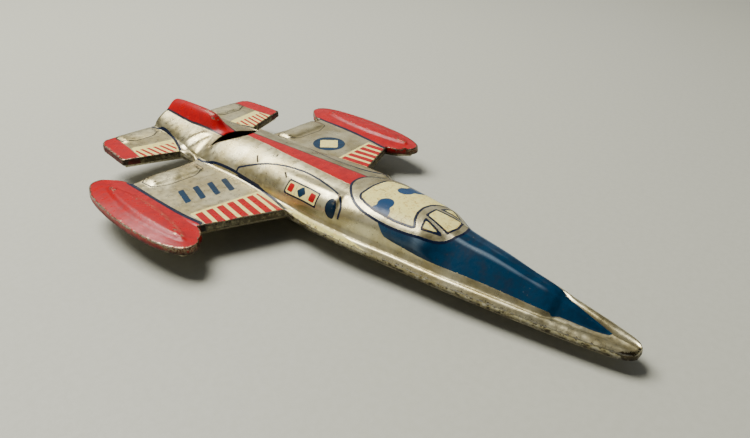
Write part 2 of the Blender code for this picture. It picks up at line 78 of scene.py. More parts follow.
FOOT = [
    (-129.7, 0.4), (-123.4, 0.6), (-112.0, 1.6), (-90.0, 2.3), (-70.0, 2.2), (-52.0, 1.9),
    (-45.5, 1.1), (21.3, 1.0),
]
FIN_H = [(-5.3, 0.0), (-3.5, 0.5), (2.2, 3.85), (8.5, 3.55), (19.0, 2.5), (21.3, 2.1)]
FIN_W = [(-5.3, 2.4), (2.0, 3.3), (8.0, 3.9), (21.3, 3.8)]
BEAD_FOOT = [(0, 1.0), (0.2, 0.42), (0.38, 0.0), (1.0, 0.0)]
BEAD = [(0, 0.0), (0.2, 0.2), (0.38, 0.60), (0.62, 0.95), (0.85, 0.62), (1.0, 0.05)]
ROUNDNESS = [  # power of the fuselage's cross-section: low is boxy, high is arched
    (-88, 0.6), (-82, 0.36), (-65, 0.34), (-56, 0.50), (-45, 0.60), (-30, 0.66), (-8, 0.86), (21.3, 0.75),
]
TAIL_TIP_LE_Y, TAIL_TIP_TE_Y = 5.9, 21.2
TAIL_TIP = [(TAIL_TIP_LE_Y, 27.6), (17.6, 26.8), (19.8, 26.1), (TAIL_TIP_TE_Y, 24.6)]  # tailplane's outer end
BEAD_FADE = [(-129.7, 0.55), (-122.0, 0.62), (-110.0, 1.0)]  # the bead flattens towards the nose tip


def at(knots, y):
    """Smooth curve through the knots with no overshoot."""
    k = np.array([a for a, _ in knots], float)
    v = np.array([b for _, b in knots], float)
    h, d = np.diff(k), np.diff(v) / np.diff(k)
    m = np.zeros(len(k))
    m[0], m[-1] = d[0], d[-1]
    for i in range(1, len(k) - 1):
        if d[i - 1] * d[i] > 0:
            w1, w2 = 2 * h[i] + h[i - 1], h[i] + 2 * h[i - 1]
            m[i] = (w1 + w2) / (w1 / d[i - 1] + w2 / d[i])
    y = np.clip(np.asarray(y, float), k[0], k[-1])
    i = np.clip(np.searchsorted(k, y, side="right") - 1, 0, len(h) - 1)
    t = (y - k[i]) / h[i]
    return (
        (1 + 2 * t) * (1 - t) ** 2 * v[i]
        + t * (1 - t) ** 2 * h[i] * m[i]
        + t * t * (3 - 2 * t) * v[i + 1]
        + t * t * (t - 1) * h[i] * m[i + 1]
    )


def smooth(a, b, v):
    s = np.clip((v - a) / (b - a), 0.0, 1.0)
    return s * s * (3 - 2 * s)


def bump(d, width):
    return np.exp(-((d / width) ** 2))


# ---- pressed form of the printed shell -------------------------------------------------------------------
def crown(u, y):
    u = np.clip(u, 0.0, 1.0)
    s = np.clip(0.5 + 0.5 * (1.45 * (1 - u) - (1 - 0.12 * u)) / 0.07, 0.0, 1.0)
    wedge = 1.45 * (1 - u) * (1 - s) + (1 - 0.12 * u) * s - 0.07 * s * (1 - s)
    power = np.interp(y, *zip(*ROUNDNESS))
    round_top = np.power(np.clip(1 - u**2.1, 0.0, 1.0), power)
    s = smooth(-91.0, -82.0, y)
    return wedge * (1 - s) + round_top * s


def intake(x, y):
    along = smooth(-60.3, -59.1, y) * (1 - smooth(-50.0, -26.0, y))
    across = smooth(5.6, 8.6, abs(x)) * (1 - smooth(10.8, 12.6, abs(x)))
    return 0.9 * along * across


def body_height(x, y):
    side, foot = at(SIDE, y), at(FOOT, y)
    u = abs(x) / side
    fore = foot + (at(TOP, y) - foot) * crown(u, y) + intake(x, y)
    aft = foot + (at(TAIL_TOP, y) - foot) * crown(u, np.maximum(y, -8.0))
    s = smooth(TE_ROOT_Y - 2.5, TE_ROOT_Y + 2.5, y)
    fin = at(FIN_H, y) * np.cos(0.5 * math.pi * np.minimum(1.0, abs(x) / at(FIN_W, y))) ** 1.2
    return fore * (1 - s) + (aft + fin) * s


def flange_height(share, y):
    """Concave strip, rounded bead, then the edge; beside wings and tailplanes a plain fillet."""
    foot = at(FOOT, y)
    bead = foot * at(BEAD_FOOT, share) + at(BEAD, share) * np.interp(y, *zip(*BEAD_FADE))
    plain = WING_Z + (foot - WING_Z) * (1 - share) ** 3
    s = smooth(-51.0, -45.5, y) * (1 - smooth(-8.0, -5.0, y)) + smooth(-3.0, 0.5, y)
    return bead * (1 - s) + plain * s


def roll(v, middle, half):
    return np.sqrt(np.maximum(0.0, 1 - ((v - middle) / half) ** 2))


def wing_height(x, y):
    ends = smooth(14.6, 16.2, x) * (1 - smooth(28.9, 31.4, x))
    return WING_Z + 0.75 * roll(y, -11.8 + 0.06 * (x - 15), 2.9) * ends


def tail_height(x, y):
    ends = smooth(9.6, 10.8, x) * (1 - smooth(20.9, 22.0, x))
    return WING_Z + 0.60 * roll(y, 18.2, 3.0) * ends


def tank_height(x, y):
    r = np.hypot((x - TANK_X) / TANK_HALF_W, (y - TANK_Y) / TANK_HALF_L)
    dome = 0.75 * (1 - np.minimum(1.0, r) ** 2)
    length = np.clip((y + 40.5) / 33.0, 0.0, 1.0)
    half = 0.3 + 2.6 * np.sin(math.pi * length) ** 0.75
    drop = 0.6 * (1 - smooth(half * 0.6, half * 1.15, abs(x - TANK_X))) * ((length > 0) & (length < 1))
    return WING_Z - 0.1 + dome + drop


def tank_edge(f):
    a = np.radians(np.interp(f, [0, 0.2, 0.8, 1], [115, 50, -50, -115]))
    x = TANK_X + TANK_HALF_W * np.sign(np.cos(a)) * abs(np.cos(a)) ** 0.85
    return x, TANK_Y - TANK_HALF_L * np.sin(a)


# ---- the sheet as patches of a fine grid -----------------------------------------------------------------
def rows_through(keys, step):
    made = [keys[0]]
    for a, b in zip(keys, keys[1:]):
        n = max(1, round((b - a) / step))
        made += [a + (b - a) * (k + 1) / n for k in range(n)]
    made = np.array(made)
    for key in keys:
        made[np.argmin(abs(made - key))] = key
    return made


BODY, WING, TANK, TAIL = range(4)  # parts of the sheet
STEP = 0.62  # between rows
FORE_KEYS = [-129.7, -129.1, -127.8, -125.5, -123.4, -113.4, -112.6, -91.0, -60.3, -59.1]
FORE = rows_through(FORE_KEYS + [LE_ROOT_Y, -20.0, TE_ROOT_Y], STEP)
AFT = rows_through([TE_ROOT_Y, -5.3, TAIL_LE_Y, 2.2, REAR_Y], STEP)
vent_share = VENT_X / float(at(SIDE, TE_ROOT_Y))
t = np.linspace(0, 1, 18)
outer_cols = vent_share + (1 - vent_share) * (1 - (1 - t) ** 1.7)
BODY_COLS = np.concatenate([np.linspace(0, vent_share, 21), outer_cols[1:]])
FLANGE_COLS = np.linspace(0, 1, 14)[1:]


def body_patch(y0, part):
    """X, Y, Z and the distance along the sheet from the centre line, one row of the grid per y0."""
    side, edge = at(SIDE, y0)[:, None], at(EDGE, y0)[:, None]
    bow = np.maximum(0.0, 1 - (BODY_COLS / vent_share) ** 2)[None]
    x = side * BODY_COLS[None]
    if part == "fore":
        y = y0[:, None] + VENT_FORE * bow * np.interp(y0, [-26.0, TE_ROOT_Y], [0, 1])[:, None]
    else:
        y = y0[:, None] + VENT_AFT * bow * np.interp(y0, [TE_ROOT_Y, 2.6], [1, 0])[:, None]
    z = body_height(x, y)
    share = FLANGE_COLS[None]
    fx = side + (edge - side) * share
    fy = np.broadcast_to(y0[:, None], fx.shape)
    fz = flange_height(np.broadcast_to(share, fx.shape), fy)
    x, y, z = np.hstack([x, fx]), np.hstack([y, fy]), np.hstack([z, fz])
    dx, dz = (np.diff(v, axis=1, prepend=v[:, :1]) for v in (x, z))
    s = np.cumsum(np.hypot(dx, dz), axis=1)
    return x, y, z, s


def panel(rx, ry, rz, tx, ty, n, height):
    """A flat panel from the root line to the tip line."""
    s = np.linspace(0, 1, n + 1)[None]
    x = rx[:, None] + (tx - rx)[:, None] * s
    y = ry[:, None] + (ty - ry)[:, None] * s
    z = height(x, y)
    z[:, 0] = rz
    return x, y, z, x.copy()


def half_sheet():
    """The patches on the +X side, each with its part."""
    fore, aft = body_patch(FORE, "fore"), body_patch(AFT, "aft")
    patches = [(fore, BODY), (aft, BODY)]
    lead = int(np.argmin(abs(FORE - LE_ROOT_Y)))
    f = (FORE[lead:] - LE_ROOT_Y) / (TE_ROOT_Y - LE_ROOT_Y)
    rx, ry, rz = (fore[k][lead:, -1] for k in range(3))
    tx, ty = np.full(len(f), TIP_X), TIP_LE_Y + (TIP_TE_Y - TIP_LE_Y) * f
    wing = panel(rx, ry, rz, tx, ty, 36, wing_height)
    ox, oy = tank_edge(f)
    s = np.linspace(0, 1, 23)[None]
    x, y = tx[:, None] + (ox - tx)[:, None] * s, ty[:, None] + (oy - ty)[:, None] * s
    bulge = np.maximum(0.0, 1 - np.minimum(f, 1 - f) / 0.08)[:, None] * np.sin(math.pi * s)
    x, y = x - 0.5 * bulge, y + 0.5 * bulge * np.where(f > 0.5, 1.0, -1.0)[:, None]
    z = tank_height(x, y)
    x[:, 0], y[:, 0], z[:, 0] = (wing[k][:, -1] for k in range(3))
    patches += [(wing, WING), ((x, y, z, x.copy()), TANK)]
    start = int(np.argmin(abs(AFT - TAIL_LE_Y)))
    f = (AFT[start:] - TAIL_LE_Y) / (REAR_Y - TAIL_LE_Y)
    rx, ry, rz = (aft[k][start:, -1] for k in range(3))
    ty = TAIL_TIP_LE_Y + (TAIL_TIP_TE_Y - TAIL_TIP_LE_Y) * f
    tx = np.interp(ty, *zip(*TAIL_TIP))
    patches.append((panel(rx, ry, rz, tx, ty, 28, tail_height), TAIL))
    return patches


points, quads, sheet_s, part_of = [], [], [], []
offset = 0
for sign in (1, -1):
    for (x, y, z, s), part in half_sheet():
        n, m = x.shape
        i, j = np.meshgrid(np.arange(n - 1), np.arange(m - 1), indexing="ij")
        a = (i * m + j).ravel() + offset
        ring = np.stack([a, a + 1, a + m + 1, a + m], -1)
        quads.append(ring if sign > 0 else ring[:, ::-1])
        points.append(np.stack([x * sign + 0.0, y, z], -1).reshape(-1, 3))
        sheet_s.append(s.ravel() * sign)
        part_of.append(np.full(n * m, part))
        offset += n * m
points, quads = np.vstack(points), np.vstack(quads)
sheet_s, part_of = np.concatenate(sheet_s), np.concatenate(part_of)
_, first, again = np.unique(np.round(points, 4) + 0.0, axis=0, return_index=True, return_inverse=True)
again = again.ravel()
points, sheet_s, part_of, quads = points[first], sheet_s[first], part_of[first], again[quads]


def vertex_normals(p, q):
    n = np.cross(p[q[:, 2]] - p[q[:, 0]], p[q[:, 3]] - p[q[:, 1]])
    total = np.zeros_like(p)
    for k in range(4):
        np.add.at(total, q[:, k], n)
    return total / np.maximum(1e-12, np.linalg.norm(total, axis=1, keepdims=True))


def border_edges(q):
    edges = np.vstack([q[:, [k, (k + 1) % 4]] for k in range(4)])
    edges = edges[edges[:, 0] != edges[:, 1]]
    key = np.sort(edges, axis=1)
    _, inverse, count = np.unique(key, axis=0, return_inverse=True, return_counts=True)
    return edges[count[inverse.ravel()] == 1]


# small dents and waves that old pressed tin has
X, Y, Z = points.T
waves = np.array([noise.noise(Vector((x * 0.16, y * 0.10, 3.1))) for x, y in zip(X, Y)])
fine = np.array([noise.noise(Vector((x * 0.45, y * 0.30, 9.7))) for x, y in zip(X, Y)])
inside = smooth(0.0, 2.0, np.where(part_of == BODY, at(EDGE, Y) - abs(X), 2.0))
points[:, 2] += (0.10 * waves + 0.035 * fine - 0.17 * smooth(7.5, 9.5, Z)) * inside
neck = smooth(-9.0, -5.0, Y) * (1 - smooth(3.0, 9.0, Y))
neck = neck * smooth(3.5, 6.0, abs(X)) * (1 - smooth(11.5, 12.5, abs(X)))
crease = bump(Y + 1.2 - 0.35 * (abs(X) - 7), 0.9) - 0.8 * bump(Y - 1.0 - 0.5 * (abs(X) - 7), 0.8)
crease += 0.7 * bump(Y + 4.2 + 0.25 * (abs(X) - 7), 0.7)
points[:, 2] -= 0.34 * crease * neck * np.where(X < 0, 1.0, 0.6)

# ---- turned-down rim -------------------------------------------------------------------------------------
edges = border_edges(quads)
ends = points[edges]
end_x, end_y = abs(ends[:, :, 0]), ends[:, :, 1]
rear = ((abs(end_y - REAR_Y) < 0.01) & (end_x < float(at(EDGE, REAR_Y)) + 0.01)).all(1)
vent = ((end_x < VENT_X + 0.05) & (end_y > -17) & (end_y < -1)).all(1)
rim = edges[~rear & ~vent]
tangent = points[rim[:, 1], :2] - points[rim[:, 0], :2]
normal = np.stack([tangent[:, 1], -tangent[:, 0]], -1)
normal /= np.maximum(1e-9, np.linalg.norm(normal, axis=1, keepdims=True))
total = np.zeros((len(points), 2))
for k in (0, 1):
    np.add.at(total, rim[:, k], normal)
rim_points = np.unique(rim)
direction = total[rim_points] / np.linalg.norm(total[rim_points], axis=1, keepdims=True)
if direction[np.argmax(points[rim_points, 0])][0] < 0:
    direction = -direction
level = {int(v): int(v) for v in rim_points}
rim_depth = np.zeros(len(points))
base = points[rim_points]
wobble = np.array([noise.noise(Vector((p[0] * 0.5, p[1] * 0.5, 1.3))) for p in base])
for out, share in ((0.10, 0.05), (0.17, 0.16), (0.22, 0.36), (0.25, 0.62), (0.27, 0.85), (0.28, 1.0)):
    ring = base.copy()
    ring[:, :2] += direction * (out + 0.02 * wobble[:, None])
    ring[:, 2] = base[:, 2] + (RIM_LOW + 0.10 * wobble * share - base[:, 2]) * share
    new = {int(v): len(points) + k for k, v in enumerate(rim_points)}
    points = np.vstack([points, ring])
    sheet_s = np.concatenate([sheet_s, sheet_s[rim_points] + np.sign(sheet_s[rim_points]) * share * 1.8])
    part_of = np.concatenate([part_of, part_of[rim_points]])
    rim_depth = np.concatenate([rim_depth, np.full(len(rim_points), share)])
    quads = np.vstack([quads, [[level[int(b)], level[int(a)], new[int(a)], new[int(b)]] for a, b in rim]])
    level = new

normals = vertex_normals(points, quads)
if normals[np.argmax(points[:, 2]), 2] < 0:
    quads = quads[:, ::-1]
    normals = -normals


# ---- inks, as signed distances in mm, positive inside ----------------------------------------------------
def region(px, py, corners):
    corners = np.array(corners, float)
    far = np.full(px.shape, 1e9)
    within = np.zeros(px.shape, bool)
    for a, b in zip(corners, np.roll(corners, -1, axis=0)):
        ab = b - a
        share = np.clip(((px - a[0]) * ab[0] + (py - a[1]) * ab[1]) / max(1e-9, ab @ ab), 0, 1)
        far = np.minimum(far, np.hypot(px - a[0] - share * ab[0], py - a[1] - share * ab[1]))
        if a[1] != b[1]:
            crossing = (a[1] > py) != (b[1] > py)
            within ^= crossing & (px < (b[0] - a[0]) * (py - a[1]) / (b[1] - a[1]) + a[0])
    return np.where(within, far, -far)


def rounded(corners, times=2):
    """Corner cutting, so that a printed outline runs smoothly."""
    p = np.array(corners, float)
    for _ in range(times):
        nxt = np.roll(p, -1, axis=0)
        p = np.stack([0.75 * p + 0.25 * nxt, 0.25 * p + 0.75 * nxt], 1).reshape(-1, 2)
    return p


def mirrored(half):
    """A closed outline from its points on one side, front to back or back to front."""
    return [(s, y) for s, y in half] + [(-s, y) for s, y in reversed(half) if abs(s) > 1e-6]


X, Y, Z = points.T
S = sheet_s
AX, AS = abs(X), abs(S)
STEEP = 1 / np.maximum(0.10, abs(normals[:, 2]))
on_body = part_of == BODY
FAR = -9.0


def only(mask, value):
    return np.where(mask, value, FAR)


canopy = region(S, Y, rounded(mirrored([
    (0, -57.0), (2.8, -57.6), (6.1, -60.8), (8.2, -64.2), (9.0, -67.3), (9.3, -71.4), (9.2, -75.4),
    (8.4, -80.3), (6.9, -84.5), (5.3, -86.9), (3.1, -88.4), (1.2, -89.0), (0, -89.1),
]), 1))
glass = region(S, Y, rounded(mirrored([
    (0, -62.4), (4.6, -62.7), (5.8, -63.5), (6.8, -66.3), (7.4, -69.5), (7.4, -75.2), (6.7, -79.7),
    (6.3, -80.1), (4.5, -78.8), (2.3, -77.9), (0, -77.6),
]), 0))
panes = np.maximum.reduce([
    region(S, Y, [(-5.9, -81.6), (-2.9, -80.6), (-4.1, -85.7)]),
    region(S, Y, [(5.9, -81.6), (2.9, -80.6), (4.1, -85.7)]),
    region(S, Y, [(-1.7, -79.9), (1.7, -79.9), (2.9, -86.6), (0, -87.3), (-2.9, -86.6)]),
])
# the nose's blue: down the cone's side to its foot, or to a lift above it, and on along the probe
LIFT = [
    (-112.6, 0.0), (-88.0, 0.1), (-83.4, 0.35), (-79.7, 0.9), (-76.8, 1.3), (-74.0, 1.9), (-72.7, 3.0),
    (-71.0, 4.6),
]
low_edge = np.where(AX < at(SIDE, Y) + 0.02, Z - at(FOOT, Y) - np.interp(Y, *zip(*LIFT)) + 0.15, FAR)
point = region(S, Y, mirrored([
    (0, -112.8), (5.2, -112.8), (3.8, -114.6), (2.9, -117.6), (1.7, -121.4), (0.5, -124.0), (0, -124.2),
]))
nose = np.maximum(np.minimum(low_edge, Y + 112.7), point)
nose = np.minimum(nose, -71.4 - 1.05 * (AS - 9.1) - Y)
stripe_half = np.interp(Y, [-58, -50, -42, -34, -26, -16], [3.1, 2.8, 2.45, 2.1, 1.5, 1.1])
stripe = np.minimum.reduce([stripe_half - AS, -canopy, Y + 60.0])
stripe = only(Y < -7.7, stripe)
fin = np.minimum(np.interp(Y, [-5.3, 1.6, 8, 21.3], [2.3, 3.15, 3.75, 3.6]) - AX, Y + 5.6)
fairing = region(AS, Y, rounded([
    (11.8, -23.0), (11.0, -24.3), (8.1, -30.1), (6.2, -35.4), (5.3, -42.2), (5.4, -47.8), (6.4, -54.0),
    (7.9, -58.9), (9.8, -61.0), (11.8, -61.4), (26, -61.4), (26, -23.0),
], 1))
mouth = region(AS, Y, rounded([
    (9.5, -57.8), (10.7, -57.0), (12.7, -57.3), (14.2, -58.4), (14.1, -59.5), (12.6, -60.1), (10.6, -59.8),
    (9.5, -58.9),
], 1))
tank_line = AX - at([(-36.5, 31.9), (-31, 32.7), (-20, 33.3), (-9, 33.5)], Y)
ROOT_X = [(-44.7, 13.2), (-38.2, 11.9), (-31.4, 11.3), (-22.7, 11.1), (-14.5, 11.6), (-9.6, 12.5)]
root_line = (AX - at(ROOT_X, Y)) * STEEP
tail_line = (AX - at([(0.3, 13.0), (4.6, 11.2), (11.1, 9.1), (16.9, 8.5), (21.3, 9.8)], Y)) * STEEP
tip = region(AX, Y, [(23.5, 4.0), (22.6, 11.4), (21.6, 21.9), (30, 22.2), (30, 4.0)])
rear_edge = np.interp(AX, [13, 16.5, 30, 34], [-33.9, -33.5, -32.0, -31.6])
wing_band = np.minimum.reduce([rear_edge - Y, 31.3 - AX + 0.04 * (Y + 32), AX - 12.2])
tail_band = region(AX, Y, [(23.3, 4.0), (22.3, 11.2), (9.6, 8.8), (12.9, 0.0)])
slant = AX + 0.15 * (Y + 32.5)
wing_bars = np.minimum.reduce([rear_edge - 0.8 - Y, 30.45 - slant, AX - 12.6])
tail_bars = np.minimum.reduce([np.interp(AX, [9, 23], [6.4, 9.0]) - Y, 22.4 - AX, AX - 11.0])
flap_box = region(AX, Y, rounded([(15.0, -15.5), (30.4, -15.5), (31.2, -8.0), (14.4, -8.0)], 1))
tail_flap_box = region(AX, Y, rounded([(10.0, 14.9), (21.6, 14.9), (22.2, 21.8), (9.4, 21.8)], 1))


MARKS_Y, DISC_X, BADGE_Y = -24.6, 21.8, -48.4  # middles of the wings' marks and of the plate on the side


def leaning_bar(px, py, cx, cy, half_w=0.85, half_h=3.4, lean=0.30):
    """A plain slanted block."""
    return np.minimum((half_w - abs(px - cx - lean * (py - cy))) * 0.95, half_h - abs(py - cy))


bars = [leaning_bar(X, Y, c, MARKS_Y - 0.17 * (c + 21)) for c in (-15.6, -19.5, -23.4, -27.3)]
marks = only(X < 0, np.maximum.reduce(bars))
disc = 4.8 - np.hypot(X - DISC_X, Y - MARKS_Y)
diamond = only(X > 0, 2.6 - (abs(X - DISC_X) + abs(Y - MARKS_Y)) * math.sqrt(0.5))
by = Y - BADGE_Y
bs = AS - 11.2 + 0.05 * by
badge = np.minimum(5.6 - abs(by), 1.75 - abs(bs))
badge_blue = 1.15 - (abs(by) + abs(bs)) * math.sqrt(0.5)
badge_red = np.minimum(0.95 - abs(abs(by) - 4.0), 1.05 - abs(bs))

heads = np.maximum(2.0 - np.hypot(S + 4.2, Y + 70.0), 2.0 - np.hypot(S - 3.4, Y + 69.6))
shoulders = np.maximum(2.5 - np.hypot(S + 7.2, Y + 70.6), 2.3 - np.hypot(S - 6.4, Y + 70.6))
shoulders = np.minimum(shoulders, glass)
wing_part, tank_part, tail_part = part_of == WING, part_of == TANK, part_of == TAIL
flying = Y < -7.0

inks = {
    "ink_red": np.maximum.reduce([
        only(on_body, stripe), only(on_body & (Y > -6.2), fin), only(tail_part, tip),
        only(tank_part | wing_part, tank_line - 0.25), only(on_body, badge_red),
    ]),
    "ink_wing_bars": only(wing_part & flying & (rim_depth < 0.1), wing_bars),
    "ink_tail_bars": only(tail_part & (rim_depth < 0.1), tail_bars),
    "ink_blue": np.maximum.reduce([
        only(on_body, np.minimum(nose, -canopy)), only(wing_part, marks), only(wing_part & (X > 0), disc),
        only(on_body, badge_blue),
    ]),
    "ink_heads": only(on_body, np.maximum(heads, shoulders)),
    "ink_mouth": only(on_body, mouth),
    "ink_glass": only(on_body, glass),
    "ink_panes": only(on_body, panes),
    "ink_canopy": only(on_body, canopy),
    "ink_band": np.maximum(
        only((wing_part | on_body) & flying & (Y < -30) & (rim_depth < 0.1), wing_band),
        only((tail_part | on_body) & (rim_depth < 0.1), tail_band),
    ),
    "ink_light": np.maximum(only(wing_part, diamond), only(on_body, badge)),
    # painted shade on the turned-down rim, strongest on the wings and tailplanes
    "painted_rim_shade": rim_depth * np.choose(part_of, [0.35, 1.8, 0.30, 1.6]),
    "line_fairing": only(on_body, fairing),
    "line_badge": only(on_body, badge),
    "line_root": np.where(flying & (Y > -46.5) & ~tank_part, root_line, 9.0),
    "line_tail": np.where((Y > 0.3), tail_line, 9.0),
    "line_tank": np.where((wing_part | tank_part) & flying, tank_line, 9.0),
    "line_fin": only(on_body & (Y > -6.2), fin),
    "line_stripe": only(on_body & (X > -1.0), stripe),
    "line_flap": np.maximum(only(wing_part, flap_box), only(tail_part, tail_flap_box)),
}

# distance to the sheet's edge and the sharpness of the surface, which drive wear
tree = KDTree(len(rim_points) + 1)
for k, v in enumerate(rim_points):
    tree.insert(Vector(points[v]), k)
tree.insert(Vector((0, 0, 99)), len(rim_points))
tree.balance()
rim_distance = np.array([tree.find(Vector(p))[2] for p in points])
rim_distance = np.where(rim_depth > 0, -rim_depth, np.minimum(rim_distance, 9.0))
mean = np.zeros_like(points)
count = np.zeros(len(points))
for k in range(4):
    np.add.at(mean, quads[:, k], points[quads[:, (k + 1) % 4]])
    np.add.at(count, quads[:, k], 1)
    np.add.at(mean, quads[:, (k + 1) % 4], points[quads[:, k]])
    np.add.at(count, quads[:, (k + 1) % 4], 1)
curve = ((points - mean / count[:, None]) * normals).sum(1)
for _ in range(2):
    total, number = np.zeros(len(points)), np.zeros(len(points))
    for k in range(4):
        np.add.at(total, quads[:, k], curve[quads].mean(1))
        np.add.at(number, quads[:, k], 1)
    curve = total / number


# ---- onto the table --------------------------------------------------------------------------------------
COS, SIN = math.cos(TILT), math.sin(TILT)
STAND = Matrix(((1, 0, 0), (0, COS, -SIN), (0, SIN, COS)))


def to_stand(p):
    p = np.asarray(p, float)
    y = p[:, 1] * COS - p[:, 2] * SIN + CENTRE_Y
    z = p[:, 1] * SIN + p[:, 2] * COS + STAND_Z
    return np.stack([p[:, 0], y, z], -1) * 0.001


def make_shell():
    inner = points - normals * SHEET_T
    n = len(points)
    border = border_edges(quads)
    faces = [tuple(dict.fromkeys(q)) for q in quads.tolist()]
    under = [tuple(i + n for i in reversed(f)) for f in faces]
    wall = [(b, a, a + n, b + n) for a, b in border.tolist()]
    mesh = bpy.data.meshes.new("printed_top")
    mesh.from_pydata(to_stand(np.vstack([points, inner])).tolist(), [], faces + under + wall)
    mesh.polygons.foreach_set("use_smooth", np.ones(len(mesh.polygons), bool))
    which = np.zeros(len(mesh.polygons), np.int32)
    which[len(faces):] = 1
    mesh.polygons.foreach_set("material_index", which)
    layers = dict(inks)
    layers["rim_distance"] = rim_distance
    layers["rim_depth"] = rim_depth
    layers["ridge"] = curve * 40
    for name, value in layers.items():
        made = mesh.attributes.new(name, "FLOAT", "POINT")
        made.data.foreach_set("value", np.concatenate([value, value]).astype(np.float32))
    flat = np.stack([S, Y, part_of.astype(float)], -1)
    made = mesh.attributes.new("flat", "FLOAT_VECTOR", "POINT")
    made.data.foreach_set("vector", np.vstack([flat, flat]).astype(np.float32).ravel())
    mesh.update()
    obj = bpy.data.objects.new("printed_top", mesh)
    bpy.context.scene.collection.objects.link(obj)
    return obj


# ---- materials -------------------------------------------------------------------------------------------
def rgb(*screen):
    """A screen colour of 0 to 255 as the linear colour that sockets take."""
    linear = (c / 255 / 12.92 if c <= 10 else ((c / 255 + 0.055) / 1.055) ** 2.4 for c in screen)
    return (*linear, 1.0)


class Net:
    """A material's node tree, written as expressions."""

    def __init__(self, name, **fixed):
        self.mat = bpy.data.materials.new(name)
        self.mat.use_nodes = True
        self.tree = self.mat.node_tree
        self.surface = self.tree.nodes["Principled BSDF"]
        for socket, value in fixed.items():
            self.surface.inputs[socket.replace("_", " ")].default_value = value

    def put(self, socket, value):
        if hasattr(value, "is_linked"):
            self.tree.links.new(value, socket)
        else:
            socket.default_value = value

    def math(self, operation, *values, clamp=False):
        node = self.tree.nodes.new("ShaderNodeMath")
        node.operation = operation
        node.use_clamp = clamp
        for socket, value in zip(node.inputs, values):
            self.put(socket, value)
        return node.outputs[0]

    def plus(self, a, b, clamp=False):
        return self.math("ADD", a, b, clamp=clamp)

    def minus(self, a, b, clamp=False):
        return self.math("SUBTRACT", a, b, clamp=clamp)

    def times(self, *values):
        total = values[0]
        for value in values[1:]:
            total = self.math("MULTIPLY", total, value)
        return total

    def most(self, a, b, clamp=False):
        return self.math("MAXIMUM", a, b, clamp=clamp)

    def least(self, a, b):
        return self.math("MINIMUM", a, b)

    def size(self, a):
        return self.math("ABSOLUTE", a)

    def step(self, value, low, high, out_low=0.0, out_high=1.0):
        node = self.tree.nodes.new("ShaderNodeMapRange")
        node.interpolation_type = "SMOOTHSTEP"
        names = ("Value", "From Min", "From Max", "To Min", "To Max")
        for name, v in zip(names, (value, low, high, out_low, out_high)):
            self.put(node.inputs[name], v)
        return node.outputs[0]

    def attribute(self, name, output="Fac"):
        node = self.tree.nodes.new("ShaderNodeAttribute")
        node.attribute_name = name
        return node.outputs[output]

    def split(self, vector):
        node = self.tree.nodes.new("ShaderNodeSeparateXYZ")
        self.put(node.inputs[0], vector)
        return node.outputs[:]

    def place(self, scale=(1, 1, 1), source=None):
        if source is None:
            source = self.tree.nodes.new("ShaderNodeTexCoord").outputs["Object"]
        node = self.tree.nodes.new("ShaderNodeMapping")
        self.put(node.inputs["Vector"], source)
        node.inputs["Scale"].default_value = scale
        return node.outputs[0]

    def noise(self, where, scale, detail=4.0, rough=0.55, distortion=0.0):
        node = self.tree.nodes.new("ShaderNodeTexNoise")
        self.put(node.inputs["Vector"], where)
        names = ("Scale", "Detail", "Roughness", "Distortion")
        for name, v in zip(names, (scale, detail, rough, distortion)):
            node.inputs[name].default_value = v
        return node.outputs["Fac"]

    def cells(self, where, scale, feature="F1", randomness=1.0):
        node = self.tree.nodes.new("ShaderNodeTexVoronoi")
        node.feature = feature
        self.put(node.inputs["Vector"], where)
        node.inputs["Scale"].default_value = scale
        node.inputs["Randomness"].default_value = randomness
        return node.outputs["Distance"]

    def mix(self, share, a, b):
        node = self.tree.nodes.new("ShaderNodeMix")
        node.data_type = "RGBA"
        self.put(node.inputs["Factor"], share)
        self.put(node.inputs[6], a)
        self.put(node.inputs[7], b)
        return node.outputs[2]

    def blend(self, share, a, b):
        node = self.tree.nodes.new("ShaderNodeMix")
        self.put(node.inputs[0], share)
        self.put(node.inputs[2], a)
        self.put(node.inputs[3], b)
        return node.outputs[0]

    def relief(self, height, distance, strength=1.0, under=None):
        node = self.tree.nodes.new("ShaderNodeBump")
        node.inputs["Distance"].default_value = distance
        node.inputs["Strength"].default_value = strength
        self.put(node.inputs["Height"], height)
        if under is not None:
            self.put(node.inputs["Normal"], under)
        return node.outputs[0]

    def wire(self, colour, metallic, roughness, normal):
        names = ("Base Color", "Metallic", "Roughness", "Normal")
        for name, value in zip(names, (colour, metallic, roughness, normal)):
            if value is not None:
                self.put(self.surface.inputs[name], value)
        return self.mat


TIN = rgb(222, 213, 172)
TIN_WARM = rgb(184, 170, 122)
RUST = rgb(62, 44, 30)
# dark brown: real dirt in pits and gouges, and the painted shade in concave places and on rims
DIRT_AND_SHADE = rgb(38, 33, 27)
RED = rgb(188, 2, 8)
BLUE = rgb(0, 50, 78)
NAVY = rgb(6, 22, 48)
CREAM = rgb(255, 242, 150)


